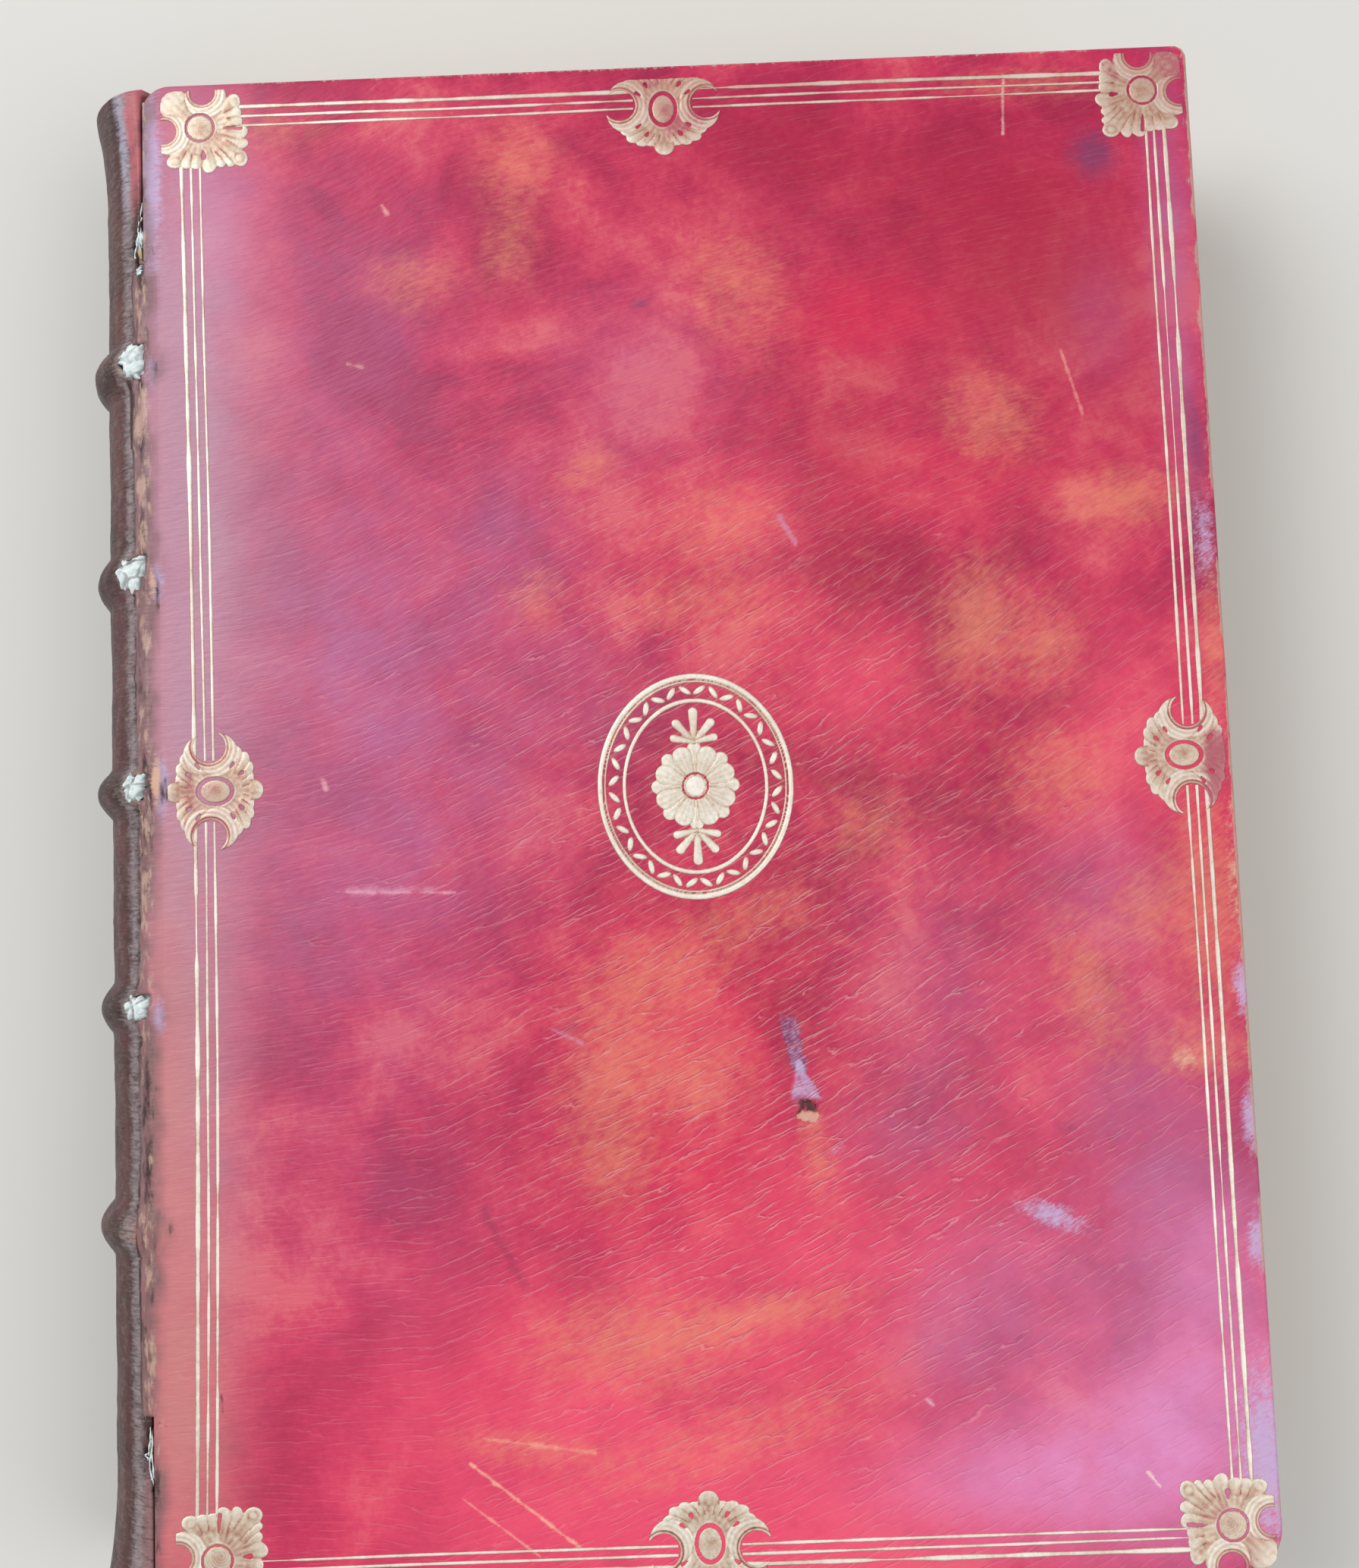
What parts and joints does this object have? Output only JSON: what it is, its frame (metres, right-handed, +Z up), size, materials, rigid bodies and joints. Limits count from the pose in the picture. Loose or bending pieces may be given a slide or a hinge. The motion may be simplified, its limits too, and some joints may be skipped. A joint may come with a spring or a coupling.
{
  "type": "antique leather book",
  "caption": "Closed full-leather book with raised bands on a rounded spine, gilt line borders, leafy corner and edge ornaments and an oval medallion.",
  "frame": {"origin": "middle of the book's outline on the surface that it lies on, under the back cover", "axes": "+X from the spine to the fore-edge, +Y from the tail to the head, +Z up through the thickness"},
  "size_m": [0.2082, 0.275, 0.038],
  "materials": {
    "pages": "aged laid paper, matt",
    "endpaper": "plain aged endpaper, matt",
    "cord": "twisted hemp cord, frayed",
    "lining": "pasted paper, matt",
    "endband": "wound silk, soft sheen",
    "spine_leather": "darkened goatskin, rubbed and polished by handling",
    "cover_leather": "crimson goatskin with a fine crushed grain, polished",
    "millboard": "grey-brown millboard, matt",
    "gilding": "gold leaf tooled into leather, softly worn"
  },
  "bodies": {
    "text_block": {"text_block": "pages", "front_free_endpaper": "endpaper", "back_free_endpaper": "endpaper", "sewing_cord_1": "cord", "sewing_cord_2": "cord", "sewing_cord_3": "cord", "sewing_cord_4": "cord", "sewing_cord_5": "cord", "spine_lining": "lining", "head_endband": "endband", "tail_endband": "endband", "spine_leather": "spine_leather"},
    "front_cover": {"front_board": "millboard", "front_leather": "cover_leather", "front_pastedown": "endpaper", "front_cord_slip_1": "cord", "front_cord_slip_2": "cord", "front_cord_slip_3": "cord", "front_cord_slip_4": "cord", "front_cord_slip_5": "cord", "front_gilt_fillets": "gilding", "front_gilt_corner_ornaments": "gilding", "front_gilt_edge_ornaments": "gilding", "front_gilt_medallion": "gilding"},
    "back_cover": {"back_board": "millboard", "back_leather": "cover_leather", "back_pastedown": "endpaper", "back_cord_slip_1": "cord", "back_cord_slip_2": "cord", "back_cord_slip_3": "cord", "back_cord_slip_4": "cord", "back_cord_slip_5": "cord", "back_gilt_fillets": "gilding", "back_gilt_corner_ornaments": "gilding", "back_gilt_edge_ornaments": "gilding", "back_gilt_medallion": "gilding"}
  },
  "joints": [
    {"name": "front_joint", "type": "hinge", "parent": "text_block", "child": "front_cover", "pos_m": [-0.09085, 0, 0.038], "axis": [0, -1, 0], "range_deg": [0, 180]},
    {"name": "back_joint", "type": "hinge", "parent": "text_block", "child": "back_cover", "pos_m": [-0.09085, 0, 0], "axis": [0, 1, 0], "range_deg": [0, 180]}
  ]
}
